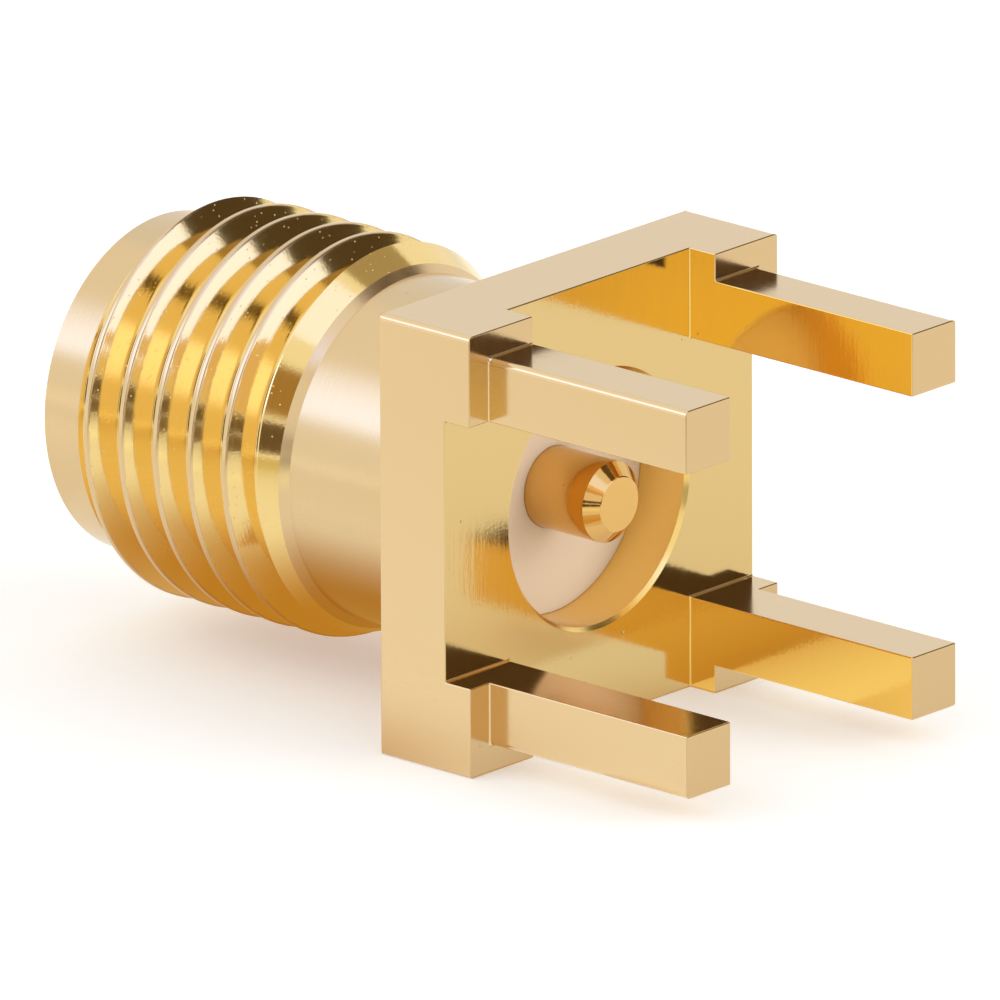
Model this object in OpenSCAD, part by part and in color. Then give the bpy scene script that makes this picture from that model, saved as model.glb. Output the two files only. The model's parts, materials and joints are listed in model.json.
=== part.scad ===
// Threaded coaxial jack for a circuit board: a turned and milled brass body with a square
// flange and four legs, a PTFE insulator and a slotted centre contact. Units: millimetres.
//
// The axis lies along X. The mating end points to -X and the legs to +X. The origin is on
// the axis, in the board plane, where the four corner pads rest on the board.

/* [Flange] */
// Width of the square flange across its flats
flange_w = 7; // [6.7:0.02:9]
// Thickness of the flange, from its front face to the board plane
flange_t = 1.82; // [1.3:0.02:3]
// Radius on the four long corners of the flange
flange_corner_r = 0.1; // [0.02:0.01:0.3]
// Width of the cross-shaped slot that is milled into the rear face and leaves four pads
slot_w = 4.13; // [4.1:0.01:4.6]
// Depth of that slot below the pads
slot_depth = 0.51; // [0.2:0.01:0.9]

/* [Legs] */
// Length of a leg beyond the board plane
leg_len = 3.98; // [2:0.02:6]
// Width of a square leg
leg_w = 1; // [0.6:0.02:1.05]
// Chamfer round the tip of a leg
leg_tip_chamfer = 0.06; // [0.02:0.01:0.2]

/* [Barrel] */
// Length of the barrel, from the flange to the mating end
barrel_len = 7.68; // [7.4:0.01:10]
// Length of the plain neck between the flange and the thread
neck_len = 2.68; // [1.5:0.01:2.8]
// Diameter of the neck
neck_d = 5.42; // [5.2:0.01:5.5]
// Length of the plain pilot in front of the thread
pilot_len = 0.72; // [0.4:0.01:1]
// Diameter of the pilot
pilot_d = 5.3; // [5.2:0.01:5.5]
// Chamfer on the outer edge of the pilot
pilot_chamfer = 0.04; // [0.02:0.01:0.1]

/* [Coupling thread] */
// Outside diameter over the crests
thread_d = 6.22; // [6.1:0.01:6.4]
// Pitch, at 36 turns to the inch
thread_pitch = 0.7056; // [0.68:0.0001:0.75]
// Depth of a groove below the crests
thread_depth = 0.42; // [0.3:0.01:0.44]
// Length of the full-diameter land in front of the first groove
first_land = 0.16; // [0.05:0.01:0.3]
// Angle between the axis and the chamfer that leads into the thread
lead_in_angle = 45; // [40:1:60]
// Diameter of the shoulder where the thread ends above the neck
shoulder_d = 5.66; // [5.56:0.01:6]
// Angle between the axis and the chamfer behind the thread
lead_out_angle = 30; // [25:1:60]

/* [Mating face] */
// Bore that receives the plug
mating_bore_d = 4.6; // [4.4:0.01:4.8]
// Depth of that bore, from the mating end to the reference plane
mating_depth = 1.9; // [1.5:0.01:2.2]
// Chamfer at the mouth of the bore
mouth_chamfer = 0.12; // [0.05:0.01:0.3]

/* [Insulator] */
// Diameter of the insulator, and of the bore that holds it
insulator_d = 4; // [3.8:0.01:4.08]
// Depth of the insulator's rear face below the board plane
insulator_inset = 1.46; // [0.95:0.01:1.7]
// Chamfer where the insulator's bore opens into the slot
bore_chamfer = 0.04; // [0.01:0.01:0.06]

/* [Centre contact] */
// Diameter of the contact
contact_d = 1.27; // [1.2:0.01:1.5]
// Depth of the contact's rear end below the board plane
contact_inset = 0.1; // [0:0.01:0.8]
// Chamfer round the rear end
contact_chamfer = 0.2; // [0.05:0.01:0.3]
// Distance from the reference plane back to the mouth of the socket
socket_setback = 0.05; // [0:0.01:0.2]
// Bore of the socket
socket_d = 0.93; // [0.9:0.01:1]
// Depth of the socket's bore
socket_depth = 2.4; // [2.1:0.05:2.8]
// Width of the slots that part the socket into four fingers
finger_slot_w = 0.16; // [0.1:0.01:0.25]
// Length of those slots
finger_slot_len = 1.9; // [1:0.05:2]
// Radial room round the fingers, where they spread for the plug's pin
finger_room = 0.04; // [0.01:0.01:0.1]
// Diameter of the barb that holds the contact in the insulator
barb_d = 1.56; // [1.52:0.01:2]
// Length of the barb
barb_len = 0.4; // [0.2:0.05:0.6]
// Distance from the insulator's rear face to the barb's step
barb_inset = 1.6; // [1:0.05:1.8]

/* [Hidden] */
$fn = 96;
// How far a cutter runs past the face it cuts
over = 1;

// Places along the axis
flange_x = -flange_t;
slot_floor_x = -slot_depth;
mid_flange_x = (flange_x + slot_floor_x) / 2;
mating_x = flange_x - barrel_len;
shoulder_x = flange_x - neck_len;
lead_in_x = mating_x + pilot_len;
reference_x = mating_x + mating_depth;
insulator_x = -insulator_inset;
socket_x = reference_x + socket_setback;
contact_x = -contact_inset;
barb_x = insulator_x - barb_inset;

// Thread form: each flank leans 30 degrees, and a crest is an eighth of the pitch wide
flank_angle = 30;
crest_w = thread_pitch / 8;
crest_r = thread_d / 2;
root_r = crest_r - thread_depth;
flank_run = thread_depth * tan(flank_angle);
lead_in_run = (crest_r - pilot_d / 2) / tan(lead_in_angle);
lead_out_run = (crest_r - shoulder_d / 2) / tan(lead_out_angle);
lead_out_x = shoulder_x - lead_out_run;

// As many grooves as end on or in front of the cone that leads out of the thread
first_groove_x = lead_in_x + lead_in_run + first_land;
last_rise_limit = shoulder_x + (crest_r - shoulder_d / 2) * tan(flank_angle);
groove_count = floor((last_rise_limit + crest_w - first_groove_x) / thread_pitch);

// The last flank rises until it meets that cone
last_rise_x = first_groove_x + groove_count * thread_pitch - crest_w;
lean = tan(flank_angle) * tan(lead_out_angle);
meet_r = min(crest_r, crest_r + (lead_out_x - last_rise_x) * tan(lead_out_angle) / (1 + lean));

// Turns what is drawn round Z to lie along X
module along_x() {
    rotate([0, 90, 0]) children();
}

// A point of a turned outline: how far along the axis, and how far from it
function at(x, r) = [r, x];

// Groove i: down the flank behind one crest, along the root and up to the next crest
function groove(i) =
    let (down_x = first_groove_x + i * thread_pitch,
         up_x = down_x + thread_pitch - crest_w,
         top_r = i == groove_count - 1 ? meet_r : crest_r)
    [at(down_x, crest_r),
     at(down_x + flank_run, root_r),
     at(up_x - flank_run, root_r),
     at(up_x - (crest_r - top_r) * tan(flank_angle), top_r)];

// Outline of the turned barrel, from the mating end back into the flange
function barrel_outline() = concat(
    [at(mating_x, 0),
     at(mating_x, pilot_d / 2 - pilot_chamfer),
     at(mating_x + pilot_chamfer, pilot_d / 2),
     at(lead_in_x, pilot_d / 2),
     at(lead_in_x + lead_in_run, crest_r)],
    [for (i = [0 : groove_count - 1]) each groove(i)],
    meet_r < crest_r ? [] : [at(lead_out_x, crest_r)],
    [at(shoulder_x, shoulder_d / 2),
     at(shoulder_x, neck_d / 2),
     at(mid_flange_x, neck_d / 2),
     at(mid_flange_x, 0)]);

module barrel() {
    along_x() rotate_extrude() polygon(barrel_outline());
}

// A square with rounded corners
module rounded_square(w, r) {
    square([w, w - 2 * r], center = true);
    square([w - 2 * r, w], center = true);
    for (y = [-1, 1], z = [-1, 1])
        translate([y * (w / 2 - r), z * (w / 2 - r)]) circle(r);
}

// The flange with its cross-shaped slot, which leaves a pad at each corner
module flange() {
    difference() {
        translate([flange_x, 0, 0])
            along_x() linear_extrude(flange_t) rounded_square(flange_w, flange_corner_r);
        translate([slot_floor_x, -slot_w / 2, -flange_w / 2 - over])
            cube([slot_depth + over, slot_w, flange_w + 2 * over]);
        translate([slot_floor_x, -flange_w / 2 - over, -slot_w / 2])
            cube([slot_depth + over, flange_w + 2 * over, slot_w]);
    }
}

// A square leg, from the slot's floor to its chamfered tip
module leg() {
    side = [[slot_floor_x, 0],
            [leg_len - leg_tip_chamfer, 0],
            [leg_len, leg_tip_chamfer],
            [leg_len, leg_w - leg_tip_chamfer],
            [leg_len - leg_tip_chamfer, leg_w],
            [slot_floor_x, leg_w]];
    intersection() {
        linear_extrude(leg_w) polygon(side);
        translate([0, leg_w, 0]) rotate([90, 0, 0]) linear_extrude(leg_w) polygon(side);
    }
}

// Four legs, each on its pad and flush with the sides of the slot
module legs() {
    for (turn = [0 : 90 : 270])
        rotate([turn, 0, 0])
            translate([0, slot_w / 2, slot_w / 2]) leg();
}

// Stepped bore: the plug's bore in front, the insulator's bore behind it
module stepped_bore() {
    along_x() rotate_extrude() polygon([
        at(mating_x - over, 0),
        at(mating_x - over, mating_bore_d / 2 + mouth_chamfer + over),
        at(mating_x, mating_bore_d / 2 + mouth_chamfer),
        at(mating_x + mouth_chamfer, mating_bore_d / 2),
        at(reference_x, mating_bore_d / 2),
        at(reference_x, insulator_d / 2),
        at(slot_floor_x - bore_chamfer, insulator_d / 2),
        at(slot_floor_x, insulator_d / 2 + bore_chamfer),
        at(slot_floor_x + slot_depth + over, insulator_d / 2 + bore_chamfer),
        at(slot_floor_x + slot_depth + over, 0)]);
}

// Gold-plated brass, in one piece from the mating end to the tips of the legs
module body() {
    color([0.87, 0.72, 0.45])
    difference() {
        union() {
            barrel();
            flange();
            legs();
        }
        stepped_bore();
    }
}

// White PTFE bushing, from the reference plane to inside the flange
module insulator() {
    color([0.93, 0.90, 0.86])
    along_x() rotate_extrude() polygon([
        at(reference_x, contact_d / 2 + finger_room),
        at(reference_x, insulator_d / 2),
        at(insulator_x, insulator_d / 2),
        at(insulator_x, contact_d / 2),
        at(barb_x, contact_d / 2),
        at(barb_x, barb_d / 2),
        at(barb_x - barb_len, contact_d / 2),
        at(socket_x + socket_depth, contact_d / 2),
        at(socket_x + socket_depth, contact_d / 2 + finger_room)]);
}

// Gold-plated contact: a slotted socket in front, a barb in the insulator and a plain tail
module center_contact() {
    tip_r = contact_d / 2 - contact_chamfer;
    color([0.86, 0.64, 0.27])
    difference() {
        along_x() rotate_extrude() polygon([
            at(socket_x, socket_d / 2),
            at(socket_x, contact_d / 2),
            at(barb_x - barb_len, contact_d / 2),
            at(barb_x, barb_d / 2),
            at(barb_x, contact_d / 2),
            at(contact_x - contact_chamfer, contact_d / 2),
            at(contact_x, tip_r),
            at(contact_x, 0),
            at(socket_x + socket_depth, 0),
            at(socket_x + socket_depth, socket_d / 2)]);
        for (turn = [0, 90])
            rotate([turn, 0, 0])
                translate([socket_x - over, -finger_slot_w / 2, -contact_d])
                    cube([finger_slot_len + over, finger_slot_w, 2 * contact_d]);
    }
}

body();
insulator();
center_contact();
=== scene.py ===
"""Coaxial board jack: a gold-plated turned and milled body, a white insulator and a contact.

Laid out as a Blender add-on and run as a script. Lengths are metres. The jack's axis lies along
X, with the mating end at -X, the legs at +X and the board plane at x = 0.
"""

import json
import math

import bmesh
import bpy
import numpy as np
from bpy.props import FloatProperty, FloatVectorProperty, IntProperty, PointerProperty
from bpy.types import Operator, Panel, PropertyGroup
from mathutils import Matrix, Vector


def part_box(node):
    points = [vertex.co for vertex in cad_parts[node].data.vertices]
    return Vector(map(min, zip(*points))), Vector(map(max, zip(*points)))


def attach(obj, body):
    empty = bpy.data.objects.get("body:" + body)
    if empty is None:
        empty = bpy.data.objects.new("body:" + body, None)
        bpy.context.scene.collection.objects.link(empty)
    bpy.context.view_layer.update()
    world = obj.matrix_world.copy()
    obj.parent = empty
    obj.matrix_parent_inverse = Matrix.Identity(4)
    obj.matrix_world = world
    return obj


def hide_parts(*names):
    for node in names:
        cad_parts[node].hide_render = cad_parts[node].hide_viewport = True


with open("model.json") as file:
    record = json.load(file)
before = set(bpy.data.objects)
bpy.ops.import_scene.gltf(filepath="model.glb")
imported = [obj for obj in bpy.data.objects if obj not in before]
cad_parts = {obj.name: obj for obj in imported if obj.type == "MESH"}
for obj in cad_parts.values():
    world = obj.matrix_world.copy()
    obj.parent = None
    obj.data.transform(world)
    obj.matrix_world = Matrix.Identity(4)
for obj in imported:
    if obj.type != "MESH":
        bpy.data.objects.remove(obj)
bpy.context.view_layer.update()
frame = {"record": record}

bl_info = {
    "name": "Coaxial Board Jack",
    "version": (1, 0, 0),
    "blender": (4, 5, 0),
    "location": "View3D > Sidebar > Board Jack",
    "description": "Builds a gold-plated coaxial jack with its thread, flange, legs and contact",
    "category": "Add Mesh",
}

MM = 0.001
MICRON = 1e-6
# Points nearer to each other than this are one point
MERGE = 1e-7
# Edges that fold by less than the first are shaded smooth, and by more than the second are rounded
SMOOTH_ANGLE = math.radians(13)
BREAK_ANGLE = math.radians(50)
# Finishes of the body, in the order of its materials
TURNED, THREADED, MILLED_FACE, MILLED_SIDE, SLOT_FLOOR, SLOT_WALL, BORED = range(7)

MOUNTS = {mount["name"]: mount for mount in frame["record"]["mounts"]}
BODY_LOW, BODY_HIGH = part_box("body")
INSULATOR_LOW, INSULATOR_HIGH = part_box("insulator")
CONTACT_LOW, CONTACT_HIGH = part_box("center_contact")
THREAD_RADIUS = MOUNTS["coupling_thread"]["dims"]["r_mm"] * MM
BORE_RADIUS = MOUNTS["mating_bore"]["dims"]["r_mm"] * MM
SOCKET_RADIUS = MOUNTS["contact_socket"]["dims"]["r_mm"] * MM
SOCKET_DEPTH = MOUNTS["contact_socket"]["dims"]["length_mm"] * MM


def length(name, description, default):
    """A length that the user can change, in metres."""
    return FloatProperty(name=name, description=description, default=default,
                         unit="LENGTH", precision=6, step=0.01, min=0.0)


def colour(name, description, code):
    """A colour that the user can change, given as an sRGB hex code."""
    return FloatVectorProperty(name=name, description=description, default=linear(code),
                               subtype="COLOR", size=4, min=0.0, max=1.0)


def linear(code):
    """An sRGB hex code such as #C8A050 as linear RGBA."""
    levels = np.array([int(code[i:i + 2], 16) for i in (1, 3, 5)]) / 255
    low = levels / 12.92
    high = ((levels + 0.055) / 1.055) ** 2.4
    return (*np.where(levels <= 0.04045, low, high), 1.0)


class FlangeSizes(PropertyGroup):
    """Sizes of the square flange, its cross-shaped slot and its four legs."""

    width: length("Width", "Width of the flange across its flats", BODY_HIGH.y - BODY_LOW.y)
    thickness: length("Thickness", "From the front face to the board plane", 1.82 * MM)
    slot_width: length("Slot width", "Width of the cross-shaped slot in the rear face", 4.13 * MM)
    slot_depth: length("Slot depth", "Depth of the slot below the pads", 0.51 * MM)
    leg_length: length("Leg length", "From the board plane to the tip of a leg", BODY_HIGH.x)
    leg_width: length("Leg width", "Width of a square leg", 1.0 * MM)
    corner_radius: length("Corner radius", "Radius on the four long corners", 0.1 * MM)
    edge_break: length("Edge break", "Rounding left on milled edges by the plating", 0.022 * MM)
    fillet: length("Fillet", "Rounding of inner corners between milled faces", 0.032 * MM)


class BarrelSizes(PropertyGroup):
    """Sizes of the turned barrel: neck, shoulder, pilot and bores."""

    neck_length: length("Neck length", "From the flange to the shoulder of the thread", 2.68 * MM)
    neck_diameter: length("Neck diameter", "Diameter of the plain neck", 5.42 * MM)
    shoulder_diameter: length("Shoulder", "Diameter of the step behind the thread", 5.66 * MM)
    pilot_length: length("Pilot length", "Length of the plain part before the thread", 0.72 * MM)
    pilot_diameter: length("Pilot diameter", "Diameter of the pilot", 5.3 * MM)
    pilot_chamfer: length("Pilot chamfer", "Chamfer on the pilot's outer edge", 0.04 * MM)
    mouth_chamfer: length("Mouth chamfer", "Chamfer at the mouth of the mating bore", 0.12 * MM)
    bore_chamfer: length("Bore chamfer", "Chamfer where the rear bore meets the slot", 0.06 * MM)


class ThreadSizes(PropertyGroup):
    """Sizes of the right-hand coupling thread."""

    pitch: length("Pitch", "Distance between crests, 36 to the inch", 0.7056 * MM)
    depth: length("Depth", "Depth of the groove below the crests", 0.42 * MM)
    crest_width: length("Crest width", "Width of the flat along each crest", 0.0882 * MM)
    crest_blend: length("Crest blend", "Height over which a crest's corner is rounded", 0.03 * MM)
    root_blend: length("Root blend", "Height over which a root's corner is rounded", 0.06 * MM)
    crest_place: FloatProperty(
        name="Crest place", description="Where a crest crosses the -Y side, along the axis",
        default=-6.7836 * MM, unit="LENGTH", precision=6)
    runout_place: FloatProperty(
        name="Run-out place", description="Where the groove has risen to the crests",
        default=-4.6 * MM, unit="LENGTH", precision=6)
    runout_length: length("Run-out length", "Length over which the groove rises", 0.27 * MM)
    flank_angle: FloatProperty(
        name="Flank angle", description="Angle between a flank and the plane across the axis",
        default=math.radians(30), subtype="ANGLE")
    lead_in_angle: FloatProperty(
        name="Lead-in angle", description="Angle between the axis and the front chamfer",
        default=math.radians(45), subtype="ANGLE")
    lead_out_angle: FloatProperty(
        name="Lead-out angle", description="Angle between the axis and the rear chamfer",
        default=math.radians(30), subtype="ANGLE")


class ContactSizes(PropertyGroup):
    """Sizes of the socket contact, its barb and its fingers."""

    diameter: length("Diameter", "Diameter of the contact", 1.27 * MM)
    end_chamfer: length("End chamfer", "Chamfer round the rear end", 0.2 * MM)
    edge_break: length("Edge break", "Rounding on the contact's edges", 0.012 * MM)
    finger_slot_width: length("Slot width", "Width of the slots between the fingers", 0.16 * MM)
    finger_slot_length: length("Slot length", "Length of those slots", 1.9 * MM)
    finger_room: length("Finger room", "Radial room round the fingers", 0.04 * MM)
    barb_length: length("Barb length", "Length of the barb", 0.4 * MM)
    barb_inset: length("Barb inset", "From the insulator's rear face to the barb's step", 1.6 * MM)


class Detail(PropertyGroup):
    """How finely the curved surfaces are divided."""

    around: IntProperty(name="Around", description="Divisions round the axis, a multiple of eight",
                        default=288, min=96, step=8)
    strip: IntProperty(name="Strip", description="Divisions across a leg and its pad",
                       default=8, min=4)


class Finishes(PropertyGroup):
    """Colours of the plating, the insulator and the studio. Some golds are darker or lighter copies
    of one plate: painted shade and painted light.
    """

    gold: colour("Satin gold", "Gold plate over turned brass", "#E2C493")
    side_gold: colour("Side gold", "Gold plate on the sides of flange and legs", "#EBCC99")
    # Painted shade: pads and leg tips face +X and look darker, so they get this darker copy of the
    # side gold
    face_gold_painted_shade: colour("Face gold", "Gold plate on pads and leg tips", "#D6B786")
    # Painted shade: a darker copy of the side gold for the slot's floor, which faces +X down in the
    # slot
    floor_gold_painted_shade: colour("Slot floor gold", "Gold plate on the floor of the milled slot", "#DBBD7F")
    # Painted light: a lighter, more orange copy of the gold, that makes up for the shaded floor
    # these walls reflect
    wall_gold_painted_light: colour("Slot wall gold", "Gold plate on the walls of the milled slot", "#F6C762")
    # Painted light: a lighter, more orange copy of the gold, that makes up for the shade inside the
    # bores
    bore_gold_painted_light: colour("Bore gold", "Gold plate in the bores", "#F8D37F")
    # Painted light: a lighter copy of the gold, raised so that reflections between the flanks come
    # out brighter
    thread_gold_painted_light: colour("Thread gold", "Gold plate on the cut flanks", "#F4D58D")
    contact_gold: colour("Contact gold", "Bright gold plate on the contact", "#E1B46A")
    # White PTFE with a warm tint; the tint is painted light, gold light thrown back from the bore
    # onto it
    ptfe: colour("PTFE", "Machined white fluoropolymer", "#FAE4CB")
    paper: colour("Paper", "Matte white paper sweep under the jack", "#F7F7F6")


# ---------------------------------------------------------------- surfaces

def turned(path, angles):
    """Surface of revolution: (x, r) of the path, turned by angle a, is (x, r cos a, r sin a)."""
    x, r = np.asarray(path, float).T[:, :, None]
    return np.stack(np.broadcast_arrays(x, r * np.cos(angles), r * np.sin(angles)), axis=-1)


def between(start, end):
    """Flat or conical band between two rings with as many points."""
    return np.stack([start, end])


def cells(points, finish, keep=None):
    """A grid of points as a patch: its points, its quads that are kept, and their finish."""
    rows, columns = points.shape[:2]
    index = np.arange(rows * columns).reshape(rows, columns)
    quads = np.stack([index[:-1, :-1], index[:-1, 1:], index[1:, 1:], index[1:, :-1]], axis=-1)
    finish = np.broadcast_to(finish, quads.shape[:2])
    keep = np.ones(quads.shape[:2], bool) if keep is None else keep
    return points.reshape(-1, 3), quads[keep], finish[keep]


def closed_mesh(name, patches, materials):
    """Joins patches whose borders meet into one closed mesh, with its faces turned outwards."""
    firsts = np.cumsum([0] + [len(points) for points, _, _ in patches[:-1]])
    points = np.concatenate([points for points, _, _ in patches])
    quads = np.concatenate([quads + first for (_, quads, _), first in zip(patches, firsts)])
    finishes = np.concatenate([finish for _, _, finish in patches])
    mesh = bpy.data.meshes.new(name)
    mesh.from_pydata(points, [], quads)
    for material in materials:
        mesh.materials.append(material)
    mesh.polygons.foreach_set("material_index", finishes.astype(np.int32))
    shape = bmesh.new()
    shape.from_mesh(mesh)
    bmesh.ops.remove_doubles(shape, verts=shape.verts, dist=MERGE)
    bmesh.ops.recalc_face_normals(shape, faces=shape.faces)
    shape.to_mesh(mesh)
    shape.free()
    mesh.shade_smooth()
    mesh.set_sharp_from_angle(angle=SMOOTH_ANGLE)
    piece = bpy.data.objects.new(name, mesh)
    bpy.context.scene.collection.objects.link(piece)
    return piece


def edge_folds(mesh):
    """Angle between the two faces of every edge, below zero where the edge is an inner corner:
    there the second face's middle lies in front of the first face."""
    edges = np.zeros(len(mesh.loops), np.int32)
    mesh.loops.foreach_get("edge_index", edges)
    sides = np.zeros(len(mesh.polygons), np.int32)
    mesh.polygons.foreach_get("loop_total", sides)
    normals, middles = np.zeros((2, len(mesh.polygons) * 3), np.float32)
    mesh.polygons.foreach_get("normal", normals)
    mesh.polygons.foreach_get("center", middles)
    order = np.argsort(edges, kind="stable")
    faces = np.repeat(np.arange(len(sides)), sides)[order].reshape(-1, 2)
    first, second = normals.reshape(-1, 3)[faces].transpose(1, 0, 2)
    here, there = middles.reshape(-1, 3)[faces].transpose(1, 0, 2)
    angle = np.arccos(np.clip((first * second).sum(1), -1, 1))
    return np.where(((there - here) * first).sum(1) > 0, -angle, angle)


def edge_ends(mesh):
    """The two end points of every edge."""
    ends = np.zeros(len(mesh.edges) * 2, np.int32)
    mesh.edges.foreach_get("vertices", ends)
    places = np.zeros(len(mesh.vertices) * 3, np.float32)
    mesh.vertices.foreach_get("co", places)
    return places.reshape(-1, 3)[ends.reshape(-1, 2)]


def round_edges(piece, width, weights, segments):
    """Rounds each edge to width times its weight, with a Bevel modifier."""
    attribute = piece.data.attributes.new("bevel_weight_edge", "FLOAT", "EDGE")
    attribute.data.foreach_set("value", weights.astype(np.float32))
    bevel = piece.modifiers.new("edge_break", "BEVEL")
    bevel.limit_method = "WEIGHT"
    bevel.width = width
    bevel.segments = segments
    bevel.use_clamp_overlap = False
    bevel.miter_outer = "MITER_SHARP"
    bevel.harden_normals = True


def keep_piece(piece, node):
    """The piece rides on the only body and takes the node's place."""
    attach(piece, "root")
    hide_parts(node)


# ---------------------------------------------------------------- body

# The share of a strip's divisions that lie on the leg, and the rest on the pad outside it
LEG_SHARE = 0.62
# Rows across each rounded corner of the thread
CORNER_ROWS = 6


def side_places(flange, detail):
    """Places along one side of the flange: even steps across pad edge and leg, and across the
    slot steps of equal angle seen from the axis, slot_half * tan(a) / tan(a_max)."""
    half, slot_half = flange.width / 2, flange.slot_width / 2
    leg_edge = slot_half + flange.leg_width
    per_side = detail.around // 4
    leg_steps = round(detail.strip * LEG_SHARE)
    widest = math.radians(90 * (0.5 - detail.strip / per_side))
    across = np.linspace(-widest, widest, per_side - 2 * detail.strip + 1)
    slot = slot_half * np.tan(across) / math.tan(widest)
    leg = np.linspace(slot_half, leg_edge, leg_steps + 1)[1:]
    pad = np.linspace(leg_edge, half, detail.strip - leg_steps + 1)[1:]
    outer = np.concatenate([leg, pad])
    return np.concatenate([-outer[::-1], slot, outer])


def square_ring(x, half, places):
    """Ring of points round a square: side k is (half, place) turned by k quarter turns."""
    place = places[:-1]
    y = np.concatenate([np.full(len(place), half), -place, np.full(len(place), -half), place])
    z = np.concatenate([place, np.full(len(place), half), -place, np.full(len(place), -half)])
    ring = np.stack([np.full(len(y), x), y, z], axis=-1)
    return np.concatenate([ring, ring[:1]])


def rear_lines(flange, places):
    """Grid lines across the rear, three at each wall, and the strip on each side of every line."""
    half, slot_half = flange.width / 2, flange.slot_width / 2
    leg_edge = slot_half + flange.leg_width
    outside, pad, leg, slot = range(4)
    walls = ((-half, outside, pad), (-leg_edge, pad, leg), (-slot_half, leg, slot),
             (slot_half, slot, leg), (leg_edge, leg, pad), (half, pad, outside))
    line, low, high = [], [], []
    for (place, before, after), (following, _, _) in zip(walls, walls[1:] + ((np.inf, 0, 0),)):
        inner = places[(places > place + MERGE) & (places < following - MERGE)]
        line += [place] * 3 + list(inner)
        low += [before, before, after] + [after] * len(inner)
        high += [before, after, after] + [after] * len(inner)
    return np.array(line), np.array(low), np.array(high)


def rear_patch(flange, places):
    """Height field over the (y, z) grid: pads at 0, slot and legs at their heights, and outside
    the flange its front face. Lines tripled at the walls stand the walls up, with a level between
    that splits a wall where another one meets it."""
    line, low, high = rear_lines(flange, places)
    front, floor = -flange.thickness, -flange.slot_depth
    heights = np.array([[front, front, front, front],
                        [front, 0, 0, floor],
                        [front, 0, flange.leg_length, floor],
                        [front, floor, floor, floor]])
    sides = (low, high)
    around = np.stack([heights[a[:, None], b[None, :]] for a in sides for b in sides])
    level = np.where(around.min(0) == front, floor, 0)
    x = np.clip(level, around.min(0), around.max(0))
    y, z = np.meshgrid(line, line, indexing="ij")
    slot = 3
    inside = (low[:-1] == slot) & (high[:-1] == slot) & (low[1:] == slot) & (high[1:] == slot)
    keep = ~(inside[:, None] & inside[None, :])
    walls = np.diff(line) == 0
    cut = walls & (np.abs(np.abs(line[:-1]) - flange.slot_width / 2) < MERGE)
    finish = np.where(walls[:, None] | walls[None, :], MILLED_SIDE, MILLED_FACE)
    finish = np.where(cut[:, None], SLOT_WALL, finish)
    flat = ~walls[:, None] & ~walls[None, :]
    finish = np.where(flat & (np.abs(x[:-1, :-1] - floor) < MERGE), SLOT_FLOOR, finish)
    return cells(np.stack([x, y, z], axis=-1), finish, keep)


def ramp(x, blend):
    """Zero below -blend, x above blend, and the parabola (x + blend)^2 / (4 blend) between."""
    return np.where(x > blend, x, np.clip(x + blend, 0, None) ** 2 / (4 * blend))


def groove_lift(centre, thread):
    """How far the tool has been drawn back where a groove's middle is at centre along the axis:
    depth * (centre - start) / (end - start), held between zero and the depth."""
    part = (centre - thread.runout_place + thread.runout_length) / thread.runout_length
    return thread.depth * np.clip(part, 0, 1)


def thread_radius(x, angles, thread):
    """Crest radius less the depth of a V groove at x, with crest and root rounded by ramps. The
    distance to the nearest crest is measured from x_crest + pitch * (angle - pi) / (2 pi)."""
    drift = thread.crest_place + thread.pitch * (angles - math.pi) / (2 * math.pi)
    away = np.abs((x - drift + thread.pitch / 2) % thread.pitch - thread.pitch / 2)
    middle = drift + (np.floor((x - drift) / thread.pitch) + 0.5) * thread.pitch
    lift = groove_lift(middle, thread)
    below = (away - thread.crest_width / 2) / math.tan(thread.flank_angle) - lift
    past_root = below - thread.depth + lift
    groove = ramp(below, thread.crest_blend) - ramp(past_root, thread.root_blend)
    return THREAD_RADIUS - np.clip(groove, 0, None)


def cone_lines(barrel, thread, start, end):
    """Slope and radius at x = 0 of the two chamfer cones: one rises from the pilot at the start
    of the thread, the other falls to the shoulder at its end."""
    lead_in, lead_out = math.tan(thread.lead_in_angle), -math.tan(thread.lead_out_angle)
    return ((lead_in, barrel.pilot_diameter / 2 - lead_in * start),
            (lead_out, barrel.shoulder_diameter / 2 - lead_out * end))


def thread_rows(thread, cones, crest):
    """Places along the axis that need a row for each crest: its corners and its roots', and the
    lines where a cone, r = level + slope * x, cuts each flank, r = R + lift - (d - crest_width / 2)
    / tan(flank), at a distance d from the crest, and where it cuts the flats of crest and root."""
    tan, half = math.tan(thread.flank_angle), thread.crest_width / 2
    foot = half + thread.depth * tan
    corner = np.linspace(-1, 1, CORNER_ROWS)
    rows = [crest]
    for side in (-1, 1):
        lift = groove_lift(crest + side * thread.pitch / 2, thread)
        crest_corner = lift + corner[:, None] * thread.crest_blend
        root_corner = thread.depth + corner * thread.root_blend
        for below in (*crest_corner, *root_corner):
            rows.append(crest + side * (half + below * tan))
        for slope, level in cones:
            above = THREAD_RADIUS + lift + half / tan - level - slope * crest
            away = above / (1 / tan + side * slope)
            rows.append(crest + side * np.clip(away, half, foot))
    for slope, level in cones:
        rows.append(np.clip((THREAD_RADIUS - level) / slope, crest - half, crest + half))
        root = (THREAD_RADIUS - thread.depth + lift - level) / slope
        rows.append(np.clip(root, crest + foot, crest + thread.pitch - foot))
    return np.stack(rows + [crest + thread.pitch / 2])


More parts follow.
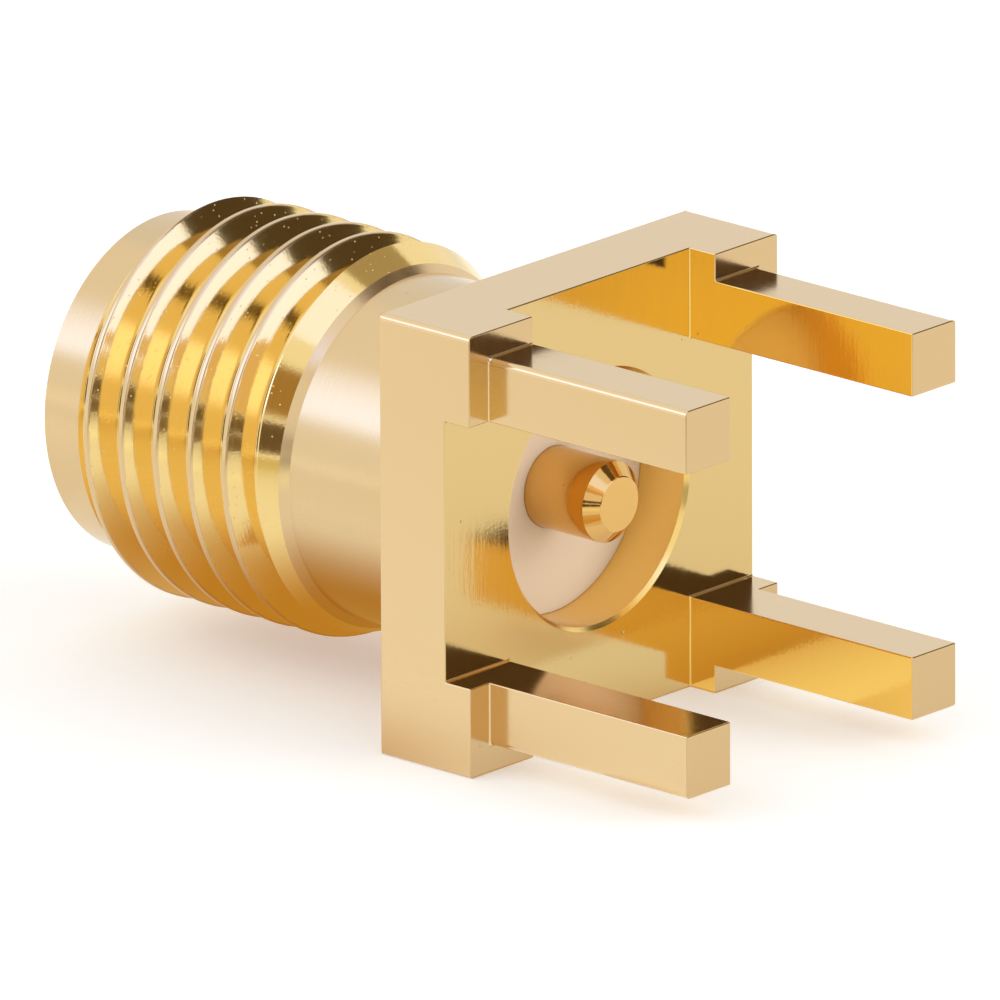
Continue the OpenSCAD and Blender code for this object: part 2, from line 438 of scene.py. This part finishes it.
def thread_patch(thread, barrel, angles, start, end):
    """Helical grid: crests lie at x = crest_place + pitch * (turn + (angle - pi) / (2 pi)), and
    each point is at the least of the thread's radius and those of the two chamfer cones."""
    drift = thread.crest_place + thread.pitch * (angles - math.pi) / (2 * math.pi)
    turns = np.arange(math.floor((start - drift.max()) / thread.pitch) - 1,
                      math.ceil((end - drift.min()) / thread.pitch) + 2)
    cones = cone_lines(barrel, thread, start, end)
    crests = [drift + turn * thread.pitch for turn in turns]
    rows = np.concatenate([thread_rows(thread, cones, crest) for crest in crests])
    x = np.clip(np.sort(rows, axis=0), start, end)
    cone_radii = [level + slope * x for slope, level in cones]
    r = np.minimum.reduce([thread_radius(x, angles, thread), *cone_radii])
    return np.stack([x, r * np.cos(angles), r * np.sin(angles)], axis=-1)


def on_crest(screw, thread):
    """Which cells of the thread's grid lie on a crest or on its rounded corners."""
    low = np.hypot(screw[..., 1], screw[..., 2]) < THREAD_RADIUS - thread.crest_blend
    return ~(low[:-1, :-1] | low[1:, :-1] | low[:-1, 1:] | low[1:, 1:])


class BuildBody(Operator):
    """Build the gold-plated body, in one piece from the mating end to the tips of the legs"""

    bl_idname = "board_jack.build_body"
    bl_label = "Body"

    def execute(self, context):
        scene = context.scene
        flange, barrel, thread = scene.jack_flange, scene.jack_barrel, scene.jack_thread
        places = side_places(flange, scene.jack_detail)
        angles = math.radians(-45) + np.linspace(0, 2 * math.pi, scene.jack_detail.around + 1)
        floor, front, mating = -flange.slot_depth, -flange.thickness, BODY_LOW.x
        shoulder = front - barrel.neck_length
        lead_in = mating + barrel.pilot_length
        bore, pilot, neck = INSULATOR_HIGH.y, barrel.pilot_diameter / 2, barrel.neck_diameter / 2
        slot_half = flange.slot_width / 2

        bores = turned([(floor, bore + barrel.bore_chamfer),
                        (floor - barrel.bore_chamfer, bore),
                        (INSULATOR_LOW.x, bore),
                        (INSULATOR_LOW.x, BORE_RADIUS),
                        (mating + barrel.mouth_chamfer, BORE_RADIUS),
                        (mating, BORE_RADIUS + barrel.mouth_chamfer)], angles)
        tip = turned([(mating, BORE_RADIUS + barrel.mouth_chamfer),
                      (mating, pilot - barrel.pilot_chamfer),
                      (mating + barrel.pilot_chamfer, pilot),
                      (lead_in, pilot)], angles)
        screw = thread_patch(thread, barrel, angles, lead_in, shoulder)
        step = barrel.shoulder_diameter / 2 - neck
        stem = turned([(shoulder + step, neck), (front, neck)], angles)
        front_square = square_ring(front, flange.width / 2, places)
        slot_square = square_ring(floor, slot_half, np.clip(places, -slot_half, slot_half))

        patches = [cells(bores, BORED),
                   cells(tip, TURNED),
                   cells(screw, np.where(on_crest(screw, thread), TURNED, THREADED)),
                   cells(between(screw[-1], stem[0]), TURNED),
                   cells(stem, TURNED),
                   cells(between(stem[-1], front_square), MILLED_SIDE),
                   rear_patch(flange, places),
                   cells(between(slot_square, bores[0]), SLOT_FLOOR)]
        materials = [turned_gold(), thread_gold_painted_light(), milled_face_gold(), milled_side_gold(),
                     slot_floor_gold(), slot_wall_gold(), bored_gold()]
        piece = closed_mesh("gold_body", patches, materials)

        ends = edge_ends(piece.data)
        across = np.abs(ends[..., 1:])
        milled = (ends[..., 0] > front - MERGE).all(1) & (across.max(2) > slot_half - MERGE).all(1)
        fold = edge_folds(piece.data)
        flange_edge, leg_edge = flange.width / 2, slot_half + flange.leg_width
        long_corner = ((np.abs(across - flange_edge) < MERGE).all((1, 2))
                       | (np.abs(across - leg_edge) < MERGE).all((1, 2)))
        widths = np.where(fold < 0, flange.fillet, flange.edge_break)
        widths = np.where(long_corner, flange.corner_radius, widths)
        sharp = milled & (np.abs(fold) > BREAK_ANGLE)
        weights = sharp * widths / flange.corner_radius
        round_edges(piece, flange.corner_radius, weights, segments=3)
        keep_piece(piece, "body")
        return {"FINISHED"}


# ---------------------------------------------------------------- insulator and contact

# Divisions across a slot between two fingers
SLOT_STEPS = 4
# How far an eased corner of the end chamfer rises, in parts of its length
EASE = 0.4


class BuildInsulator(Operator):
    """Build the white insulator that fills the body's bore"""

    bl_idname = "board_jack.build_insulator"
    bl_label = "Insulator"

    def execute(self, context):
        contact = context.scene.jack_contact
        angles = np.linspace(0, 2 * math.pi, context.scene.jack_detail.around // 2 + 1)
        near, outer = contact.diameter / 2, INSULATOR_HIGH.y
        hole = near + contact.finger_room
        back, face = INSULATOR_HIGH.x, INSULATOR_LOW.x
        barb = back - contact.barb_inset
        edge = contact.edge_break
        room_end = CONTACT_LOW.x + SOCKET_DEPTH
        outline = [(face, hole + edge), (face, outer - edge), (face + edge, outer),
                   (back - edge, outer), (back, outer - edge), (back, near + edge),
                   (back - edge, near), (barb, near), (barb, CONTACT_HIGH.y),
                   (barb - contact.barb_length, near), (room_end, near), (room_end, hole),
                   (face + edge, hole), (face, hole + edge)]
        bushing = cells(turned(outline, angles), 0)
        piece = closed_mesh("ptfe_insulator", [bushing], [machined_ptfe()])
        keep_piece(piece, "insulator")
        return {"FINISHED"}


def finger_angles(r, half_slot, steps, slot_steps):
    """Angles of the columns at radius r. A slot of half width h ends at asin(h / r) from its
    middle, with two columns at each of its walls. Steps are even across slots and fingers."""
    edge = np.arcsin(half_slot / r)
    slot = np.linspace(-1, 1, slot_steps + 1)
    finger = np.linspace(0, 1, steps + 1)
    quarter = [edge[:, None] * slot, edge[:, None] + (math.pi / 2 - 2 * edge[:, None]) * finger]
    quarter = np.concatenate(quarter, axis=1)
    quarters = [quarter + k * math.pi / 2 for k in range(4)]
    return np.concatenate([*quarters, quarter[:, :1] + 2 * math.pi], axis=1)


class BuildContact(Operator):
    """Build the centre contact, with its slotted socket in front and its plain tail behind"""

    bl_idname = "board_jack.build_contact"
    bl_label = "Centre contact"

    def execute(self, context):
        contact = context.scene.jack_contact
        around = context.scene.jack_detail.around
        r, tip = contact.diameter / 2, contact.diameter / 2 - contact.end_chamfer
        mouth, tail = CONTACT_LOW.x, CONTACT_HIGH.x
        socket_end, slot_end = mouth + SOCKET_DEPTH, mouth + contact.finger_slot_length
        barb = INSULATOR_HIGH.x - contact.barb_inset
        edge = contact.edge_break
        along = edge * math.cos(math.radians(45))
        rise = EASE * along
        chamfer = tail - contact.end_chamfer
        outline = [(tail, 0.0), (tail, tip - edge), (tail - along, tip + rise),
                   (chamfer + along, r - rise), (chamfer - edge, r),
                   (barb, r), (barb, CONTACT_HIGH.y), (barb - contact.barb_length, r),
                   (slot_end, r), (mouth + edge, r), (mouth, r - edge),
                   (mouth, SOCKET_RADIUS + edge), (mouth + edge, SOCKET_RADIUS),
                   (slot_end, SOCKET_RADIUS), (socket_end, SOCKET_RADIUS), (socket_end, 0.0)]
        x, radii = np.array(outline).T
        steps = around // 8 - SLOT_STEPS
        angles = finger_angles(np.maximum(radii, SOCKET_RADIUS), contact.finger_slot_width / 2,
                               steps, SLOT_STEPS)
        in_slot = np.tile(np.arange(steps + SLOT_STEPS + 2) <= SLOT_STEPS, 4)
        in_slot = np.append(in_slot, True)
        x = np.where(in_slot & (x[:, None] < slot_end), slot_end, x[:, None])
        y, z = radii[:, None] * np.cos(angles), radii[:, None] * np.sin(angles)
        points = np.stack([x, y, z], axis=-1)
        piece = closed_mesh("socket_contact", [cells(points, 0)], [bright_contact_gold()])
        keep_piece(piece, "center_contact")
        return {"FINISHED"}


# ---------------------------------------------------------------- finishes

def add(tree, kind, inputs=None, **settings):
    """Adds a node with its settings; an input is a value or another node's output."""
    node = tree.nodes.new(kind)
    for name, value in settings.items():
        setattr(node, name, value)
    for socket, value in (inputs or {}).items():
        if isinstance(value, bpy.types.NodeSocket):
            tree.links.new(value, node.inputs[socket])
        else:
            node.inputs[socket].default_value = value
    return node


def new_material(name):
    """An empty node material and its Principled shader."""
    material = bpy.data.materials.new(name)
    material.use_nodes = True
    tree = material.node_tree
    return material, tree, tree.nodes["Principled BSDF"]


def millimetres(tree, scale):
    """Object coordinates in millimetres, times a scale along each axis."""
    place = add(tree, "ShaderNodeTexCoord").outputs["Object"]
    scale = tuple(s / MM for s in scale)
    return add(tree, "ShaderNodeMapping", {"Vector": place, "Scale": scale}).outputs["Vector"]


# Pits in the plating: cells to a millimetre along each axis, the pit's radius in parts of a cell,
# and its depth. Sparse pits are 0.05 mm across. Fine pits are drawn 0.03 mm across, where real ones
# are about 0.01 mm, so that they show as specks.
SPARSE_PITS = (1.3, 0.035, 0.008 * MM)
FINE_PITS = (9, 0.12, 0.003 * MM)
# The flat bottom of a pit, in parts of its radius
PIT_BOTTOM = 0.3
# Grain of the plating, in cells to a millimetre. The real grain is finer, about 0.01 mm, and is
# drawn at 0.06 mm so that it shows.
GRAIN_SCALE = (18, 18, 18)
GRAIN_DEPTH = 0.5 * MICRON


def plated(name, base, roughness, marks, depth, spread=0.04, pitting=SPARSE_PITS):
    """Gold plate over cut metal: the tool's marks, a fine grain, and pits. The marks are a
    function that gives the pattern of the cut, depth is how deep they are, and the roughness
    varies with them by the spread."""
    material, tree, shader = new_material(name)
    pattern = marks(tree)
    shader.inputs["Base Color"].default_value = base
    shader.inputs["Metallic"].default_value = 1.0
    rough = add(tree, "ShaderNodeMapRange", {"Value": pattern, "To Min": roughness - spread,
                                             "To Max": roughness + spread})
    tree.links.new(rough.outputs["Result"], shader.inputs["Roughness"])
    cut = add(tree, "ShaderNodeBump", {"Height": pattern, "Distance": depth, "Strength": 1.0})
    grain = add(tree, "ShaderNodeTexNoise",
                {"Vector": millimetres(tree, GRAIN_SCALE), "Scale": 1.0})
    grained = add(tree, "ShaderNodeBump",
                  {"Height": grain.outputs["Fac"], "Distance": GRAIN_DEPTH, "Strength": 1.0,
                   "Normal": cut.outputs["Normal"]})
    density, reach, pit_depth = pitting
    pitted = add(tree, "ShaderNodeBump",
                 {"Height": pits(tree, density, reach), "Distance": pit_depth, "Strength": 1.0,
                  "Normal": grained.outputs["Normal"]})
    tree.links.new(pitted.outputs["Normal"], shader.inputs["Normal"])
    return material


def pits(tree, density, reach):
    """Height of a surface with round pits, scattered in space, one to a cell: zero at a pit's
    bottom and one past its radius, the reach."""
    place = millimetres(tree, (density, density, density))
    spot = add(tree, "ShaderNodeTexVoronoi", {"Vector": place, "Scale": 1.0})
    return add(tree, "ShaderNodeMapRange",
               {"Value": spot.outputs["Distance"], "From Min": PIT_BOTTOM * reach,
                "From Max": reach}).outputs["Result"]


def fine_noise(tree, place):
    """Noise of a place in cells, with finer octaves for the ragged look of a cut."""
    return add(tree, "ShaderNodeTexNoise", {"Vector": place, "Scale": 1.0, "Detail": 3.0,
                                            "Roughness": 0.6}).outputs["Fac"]


def streaks(tree, scale):
    """Fine streaks: noise with so many cells to a millimetre along each axis, and so drawn out
    along the axes with few."""
    return fine_noise(tree, millimetres(tree, scale))


def rings(tree, along, outward):
    """Turning marks: noise of (x, distance from the axis), the same all round, with so many cells
    to a millimetre along the axis and outwards."""
    split = add(tree, "ShaderNodeSeparateXYZ", {"Vector": millimetres(tree, (1, 1, 1))})
    across = add(tree, "ShaderNodeCombineXYZ",
                 {"Y": split.outputs["Y"], "Z": split.outputs["Z"]})
    radius = add(tree, "ShaderNodeVectorMath", {"Vector": across.outputs["Vector"]},
                 operation="LENGTH")
    x = add(tree, "ShaderNodeMath", {0: split.outputs["X"], 1: along}, operation="MULTIPLY")
    r = add(tree, "ShaderNodeMath", {0: radius.outputs["Value"], 1: outward},
            operation="MULTIPLY")
    place = add(tree, "ShaderNodeCombineXYZ", {"X": x.outputs["Value"], "Y": r.outputs["Value"]})
    return fine_noise(tree, place.outputs["Vector"])


def turned_gold():
    """Gold plate over turned brass: satin, drawn out by the rings of a lathe tool, whose feed
    leaves lines 0.06 mm apart."""
    base = bpy.context.scene.jack_finishes.gold
    return plated("turned_gold_plate", base, roughness=0.2, depth=0.7 * MICRON,
                  marks=lambda tree: rings(tree, along=16, outward=16))


def thread_gold_painted_light():
    """Gold plate over a cut thread: near mirror bright, with marks 0.06 mm apart that follow the
    flanks, and fine pits that show as specks where the flanks are dark."""
    # The base is a lighter copy of the gold: painted light
    base = bpy.context.scene.jack_finishes.thread_gold_painted_light
    return plated("thread_gold_plate", base, roughness=0.1, depth=0.8 * MICRON,
                  marks=lambda tree: rings(tree, along=6, outward=18), pitting=FINE_PITS)


def milled_face_gold():
    """Gold plate over faces cut by an end mill: satin, with lines 0.07 mm apart along the cut."""
    # The base is a darker copy of the side gold: painted shade
    base = bpy.context.scene.jack_finishes.face_gold_painted_shade
    return plated("milled_face_gold_plate", base, roughness=0.16, depth=0.6 * MICRON,
                  marks=lambda tree: streaks(tree, (2, 14, 3)))


def milled_side_gold():
    """Gold plate over the milled sides of flange and legs: satin, with faint lines 0.11 mm apart
    that run along the legs."""
    base = bpy.context.scene.jack_finishes.side_gold
    return plated("milled_side_gold_plate", base, roughness=0.15, depth=0.35 * MICRON,
                  marks=lambda tree: streaks(tree, (3, 9, 9)))


def slot_floor_gold():
    """Gold plate on the slot's floor: bright, with lines 0.14 mm apart along the mill's feed,
    which smear what it mirrors."""
    # The base is a darker copy of the gold: painted shade
    base = bpy.context.scene.jack_finishes.floor_gold_painted_shade
    return plated("slot_floor_gold_plate", base, roughness=0.11, depth=1.6 * MICRON,
                  marks=lambda tree: streaks(tree, (1, 7, 0.8)))


def slot_wall_gold():
    """Gold plate on the slot's walls and the legs' inner sides: bright, with the marks of the
    mill's flutes across them, 0.06 mm apart."""
    # The base is a lighter, more orange copy of the gold: painted light
    base = bpy.context.scene.jack_finishes.wall_gold_painted_light
    return plated("slot_wall_gold_plate", base, roughness=0.1, depth=1.1 * MICRON,
                  marks=lambda tree: streaks(tree, (16, 0.7, 0.7)))


def bored_gold():
    """Gold plate inside the bores: satin, with rings of the boring tool 0.06 mm apart."""
    # The base is a lighter, more orange copy of the gold: painted light
    base = bpy.context.scene.jack_finishes.bore_gold_painted_light
    return plated("bored_gold_plate", base, roughness=0.2, depth=0.8 * MICRON,
                  marks=lambda tree: rings(tree, along=16, outward=16))


def bright_contact_gold():
    """Bright gold plate over beryllium copper: almost a mirror, with faint rings 0.06 mm apart."""
    base = bpy.context.scene.jack_finishes.contact_gold
    return plated("bright_contact_gold_plate", base, roughness=0.09, depth=0.3 * MICRON,
                  marks=lambda tree: rings(tree, along=16, outward=16), spread=0.03)


def machined_ptfe():
    """Machined PTFE: a waxy white that lets light in, half matt, with faint rings of the tool
    0.08 mm apart. Its index of refraction is low, 1.35."""
    material, tree, shader = new_material("machined_ptfe")
    pattern = rings(tree, along=12, outward=12)
    # Its base is the PTFE's white with a warm tint that is painted light bounced from the gold
    shader.inputs["Base Color"].default_value = bpy.context.scene.jack_finishes.ptfe
    shader.inputs["Subsurface Weight"].default_value = 0.4
    shader.inputs["Subsurface Radius"].default_value = (1.0, 0.9, 0.8)
    shader.inputs["Subsurface Scale"].default_value = 0.3 * MM
    shader.inputs["IOR"].default_value = 1.35
    shader.inputs["Roughness"].default_value = 0.5
    bump = add(tree, "ShaderNodeBump", {"Height": pattern, "Distance": MICRON, "Strength": 1.0})
    tree.links.new(bump.outputs["Normal"], shader.inputs["Normal"])
    return material


def seen_directly(tree):
    """One for a ray from the camera, a reflection or a refraction, and zero for other rays."""
    path = add(tree, "ShaderNodeLightPath").outputs
    mirrored = add(tree, "ShaderNodeMath", {0: path["Is Camera Ray"], 1: path["Is Glossy Ray"]},
                   operation="MAXIMUM").outputs["Value"]
    return add(tree, "ShaderNodeMath", {0: mirrored, 1: path["Is Transmission Ray"]},
               operation="MAXIMUM").outputs["Value"]


# What the paper adds to the light it throws back, where it is seen and where gold reflects it
PAPER_LIFT = 0.27
PAPER_LIFT_IN_GOLD = 0.22


def matte_paper():
    """Matte white paper: hardly any gloss, with a faint tooth 0.25 mm across, and lifted to full
    white where it is seen."""
    material, tree, shader = new_material("matte_paper")
    shader.inputs["Base Color"].default_value = bpy.context.scene.jack_finishes.paper
    shader.inputs["Roughness"].default_value = 0.9
    shader.inputs["Specular IOR Level"].default_value = 0.1
    shader.inputs["Emission Color"].default_value = (1, 1, 1, 1)
    glossy = add(tree, "ShaderNodeLightPath").outputs["Is Glossy Ray"]
    level = add(tree, "ShaderNodeMapRange", {"Value": glossy, "To Min": PAPER_LIFT,
                                             "To Max": PAPER_LIFT_IN_GOLD})
    lift = add(tree, "ShaderNodeMath", {0: seen_directly(tree), 1: level.outputs["Result"]},
               operation="MULTIPLY")
    tree.links.new(lift.outputs["Value"], shader.inputs["Emission Strength"])
    tooth = add(tree, "ShaderNodeTexNoise",
                {"Vector": millimetres(tree, (4, 4, 4)), "Scale": 1.0}).outputs["Fac"]
    bump = add(tree, "ShaderNodeBump", {"Height": tooth, "Distance": 2 * MICRON})
    tree.links.new(bump.outputs["Normal"], shader.inputs["Normal"])
    return material


def shining_card(name, radiance, border):
    """Card of the studio that sends a set radiance (red, green, blue) into what reflects it.
    Over the border, a share of its width and height, it fades to the white round it:
    radiance = 1 + (set - 1) * product of smooth(min(u, 1 - u) / border) over both directions."""
    material = bpy.data.materials.new(name)
    material.use_nodes = True
    tree = material.node_tree
    tree.nodes.clear()
    place = add(tree, "ShaderNodeTexCoord")
    split = add(tree, "ShaderNodeSeparateXYZ", {"Vector": place.outputs["Generated"]})
    inside = []
    for axis in "XY":
        far = add(tree, "ShaderNodeMath", {0: 1.0, 1: split.outputs[axis]}, operation="SUBTRACT")
        near = add(tree, "ShaderNodeMath", {0: split.outputs[axis], 1: far.outputs["Value"]},
                   operation="MINIMUM").outputs["Value"]
        inside.append(add(tree, "ShaderNodeMapRange", {"Value": near, "From Max": border},
                          interpolation_type="SMOOTHSTEP").outputs["Result"])
    share = add(tree, "ShaderNodeMath", {0: inside[0], 1: inside[1]}, operation="MULTIPLY")
    above = tuple(part - 1 for part in radiance)
    colour = add(tree, "ShaderNodeVectorMath", {0: share.outputs["Value"], 1: above, 2: (1, 1, 1)},
                 operation="MULTIPLY_ADD")
    glow = add(tree, "ShaderNodeEmission", {"Color": colour.outputs["Vector"], "Strength": 1.0})
    add(tree, "ShaderNodeOutputMaterial", {"Surface": glow.outputs["Emission"]})
    return material


# ---------------------------------------------------------------- stage

def flat_card(name, centre, size, turn, material):
    """A flat card of the stage; size is its width and height, and turn its rotation."""
    mesh = bpy.data.meshes.new(name)
    across, up = size[0] / 2, size[1] / 2
    mesh.from_pydata([(-across, -up, 0), (across, -up, 0), (across, up, 0), (-across, up, 0)],
                     [], [(0, 1, 2, 3)])
    mesh.materials.append(material)
    card = bpy.data.objects.new(name, mesh)
    bpy.context.scene.collection.objects.link(card)
    card.location = centre
    card.rotation_euler = turn
    return card


def facing_jack(place, axis="Z"):
    """Rotation that turns an object's axis from its place to the jack."""
    return (-Vector(place)).to_track_quat(axis, "Y").to_euler()


def around_jack(azimuth, elevation, distance):
    """The place seen from the jack at an azimuth from +X towards +Y, an elevation and a
    distance: distance * (cos e cos a, cos e sin a, sin e)."""
    a, e = math.radians(azimuth), math.radians(elevation)
    level = distance * math.cos(e)
    return (level * math.cos(a), level * math.sin(a), distance * math.sin(e))


def reflected_card(name, centre, size, turn, material):
    """A card that only shows in the gold: it throws no shadow and is not seen itself."""
    card = flat_card(name, centre, size, turn, material)
    for kind in ("visible_camera", "visible_diffuse", "visible_shadow", "visible_transmission"):
        setattr(card, kind, False)


def soft_box(name, place, size, radiance):
    """A rectangular area lamp that faces the jack, with an even radiance over its face, which
    is power / (pi * area). Cards, and not the lamp, show in the gold."""
    lamp = bpy.data.lights.new(name, "AREA")
    lamp.shape = "RECTANGLE"
    lamp.size, lamp.size_y = size
    lamp.energy = radiance * math.pi * size[0] * size[1]
    light = bpy.data.objects.new(name, lamp)
    light.location = place
    light.rotation_euler = facing_jack(place, "-Z")
    light.visible_camera = light.visible_glossy = False
    bpy.context.scene.collection.objects.link(light)


# Distance of cards and lamps from the jack, and the width of the floor, in metres
STUDIO_REACH = 0.5
FLOOR_WIDTH = 6.0
# Height of the lowest mat above the floor, and of each mat above the one before
MAT_HEIGHT, MAT_STEP = 0.02 * MM, 0.005 * MM
# Strength of the white surroundings as light. They are 1 where they are seen.
WORLD_LIGHT = 0.75
# Lamps: name, azimuth and elevation in degrees, width and height in metres, radiance
LAMPS = (("front_soft_box", 30, 22, 0.38, 0.32, 2.2),
         ("left_soft_box", -127, 40, 0.38, 0.32, 1.0))
# Cards round the jack: name, azimuth and elevation in degrees, width and height in metres,
# border, radiance
CARDS = (("back_flag", 57, 26, 0.29, 0.36, 0.02, (0.085, 0.06, 0.035)),
         ("side_flag", 88, 55, 0.3, 0.3, 0.06, (0.43, 0.36, 0.25)),
         ("step_flag", 46, 50, 0.24, 0.1, 0.06, (0.14, 0.09, 0.04)),
         ("ceiling_gap", -150, 75, 0.4, 0.075, 0.2, (0.1, 0.07, 0.04)),
         ("lens_card_low", -70, 8, 0.2, 0.15, 0.08, (0.15, 0.1, 0.06)),
         ("lens_card", -64, 32, 0.28, 0.28, 0.2, (0.4, 0.25, 0.09)),
         ("low_card", -25, 2.5, 0.36, 0.05, 0.08, (0.15, 0.095, 0.05)),
         ("warm_card", -12, 8.5, 0.22, 0.055, 0.1, (0.85, 0.66, 0.32)),
         ("front_card", 8, 30, 0.5, 0.32, 0.04, (1.2, 1.38, 2.4)),
         ("left_card", -122, 34, 0.42, 0.36, 0.25, (1.45, 1.76, 2.9)),
         ("top_card", -20, 75, 0.34, 0.22, 0.08, (1.15, 1.3, 2.1)),
         ("back_card", 136, 24, 0.5, 0.42, 0.1, (0.87, 0.9, 0.97)))
# Mats on the floor: name, x and y, length and width in millimetres, turn in degrees, border,
# radiance
MATS = (("low_mat", 170, -36, 300, 60, -12, 0.04, (0.2, 0.13, 0.07)),
        ("lens_mat", 16, -58, 110, 60, -70, 0.3, (0.72, 0.62, 0.34)),
        ("contact_mat", 50, -42, 90, 16, -40, 0.1, (0.12, 0.07, 0.03)),
        # Painted shadow and painted gold light on the floor under the jack: a dark orange sheet
        # that shows only in the gold
        ("painted_shade_and_bounce_mat", -4.6, -0.6, 13, 11, 0, 0.4, (0.56, 0.3, 0.06)),
        ("amber_mat", 10, -13, 14, 10, -48, 0.3, (1.25, 1.32, 1.0)))
# Camera: its place in metres, the directions ahead and to the right, the focal length and the
# sensor's width in millimetres, and the depth that it sees in metres
CAMERA_PLACE = (0.3988118, -0.4464683, 0.1928343)
CAMERA_AHEAD = (-0.63635616, 0.70790771, -0.30645964)
CAMERA_RIGHT = (0.74432892, 0.66780655, -0.00297881)
FOCAL_LENGTH, SENSOR_WIDTH = 1497.4, 36
NEAREST, FARTHEST = 0.01, 20


class BuildStage(Operator):
    """Build the floor, the lamps, the world and the camera"""

    bl_idname = "board_jack.build_stage"
    bl_label = "Stage"

    def execute(self, context):
        floor_z = BODY_LOW.z
        flat_card("floor", (0, 0, floor_z), (FLOOR_WIDTH, FLOOR_WIDTH), (0, 0, 0), matte_paper())
        for name, azimuth, elevation, width, height, border, radiance in CARDS:
            centre = around_jack(azimuth, elevation, STUDIO_REACH)
            reflected_card(name, centre, (width, height), facing_jack(centre),
                           shining_card(name, radiance, border))
        for layer, (name, x, y, long, wide, turn, border, radiance) in enumerate(MATS):
            centre = (x * MM, y * MM, floor_z + MAT_HEIGHT + layer * MAT_STEP)
            reflected_card(name, centre, (long * MM, wide * MM), (0, 0, math.radians(turn)),
                           shining_card(name, radiance, border))
        for name, azimuth, elevation, width, height, radiance in LAMPS:
            place = around_jack(azimuth, elevation, STUDIO_REACH)
            soft_box(name, place, (width, height), radiance)
        make_world()
        make_camera()
        context.scene.view_settings.view_transform = "Standard"
        return {"FINISHED"}


def make_world():
    """Even white surroundings: a plain level of light, and full white where they are seen."""
    world = bpy.data.worlds.new("white_studio")
    bpy.context.scene.world = world
    world.use_nodes = True
    tree = world.node_tree
    background = tree.nodes["Background"]
    background.inputs["Color"].default_value = (1, 1, 1, 1)
    level = add(tree, "ShaderNodeMapRange", {"Value": seen_directly(tree),
                                             "To Min": WORLD_LIGHT, "To Max": 1.0})
    tree.links.new(level.outputs["Result"], background.inputs["Strength"])


def make_camera():
    """A long lens that looks at the legs' side of the jack, a little from above."""
    ahead, right = Vector(CAMERA_AHEAD), Vector(CAMERA_RIGHT)
    up = right.cross(ahead)
    data = bpy.data.cameras.new("camera")
    data.sensor_width = SENSOR_WIDTH
    data.lens = FOCAL_LENGTH
    data.clip_start, data.clip_end = NEAREST, FARTHEST
    camera = bpy.data.objects.new("camera", data)
    turn = Matrix((right, up, -ahead)).transposed().to_4x4()
    camera.matrix_world = Matrix.Translation(CAMERA_PLACE) @ turn
    bpy.context.scene.collection.objects.link(camera)
    bpy.context.scene.camera = camera


# ---------------------------------------------------------------- add-on

class JackPanel(Panel):
    """Lists the jack's sizes and what can be built."""

    bl_idname = "VIEW3D_PT_board_jack"
    bl_label = "Board Jack"
    bl_space_type = "VIEW_3D"
    bl_region_type = "UI"
    bl_category = "Board Jack"

    def draw(self, context):
        for operator in OPERATORS:
            self.layout.operator(operator.bl_idname)
        for name in GROUPS:
            box = self.layout.box()
            box.label(text=name.replace("_", " ").capitalize())
            group = getattr(context.scene, name)
            for field in group.__annotations__:
                box.prop(group, field)


GROUPS = {"jack_flange": FlangeSizes, "jack_barrel": BarrelSizes, "jack_thread": ThreadSizes,
          "jack_contact": ContactSizes, "jack_detail": Detail, "jack_finishes": Finishes}
OPERATORS = (BuildStage, BuildBody, BuildInsulator, BuildContact)


def register():
    """Registers the classes, and hangs the groups of sizes on the scene."""
    for kind in (*GROUPS.values(), *OPERATORS, JackPanel):
        bpy.utils.register_class(kind)
    for name, kind in GROUPS.items():
        setattr(bpy.types.Scene, name, PointerProperty(type=kind))


def unregister():
    """Takes the groups off the scene, and the classes out of the register."""
    for name in GROUPS:
        delattr(bpy.types.Scene, name)
    for kind in (JackPanel, *OPERATORS, *GROUPS.values()):
        bpy.utils.unregister_class(kind)


def main():
    """Builds the stage and the jack."""
    register()
    bpy.ops.board_jack.build_stage()
    bpy.ops.board_jack.build_body()
    bpy.ops.board_jack.build_insulator()
    bpy.ops.board_jack.build_contact()


if __name__ == "__main__":
    main()
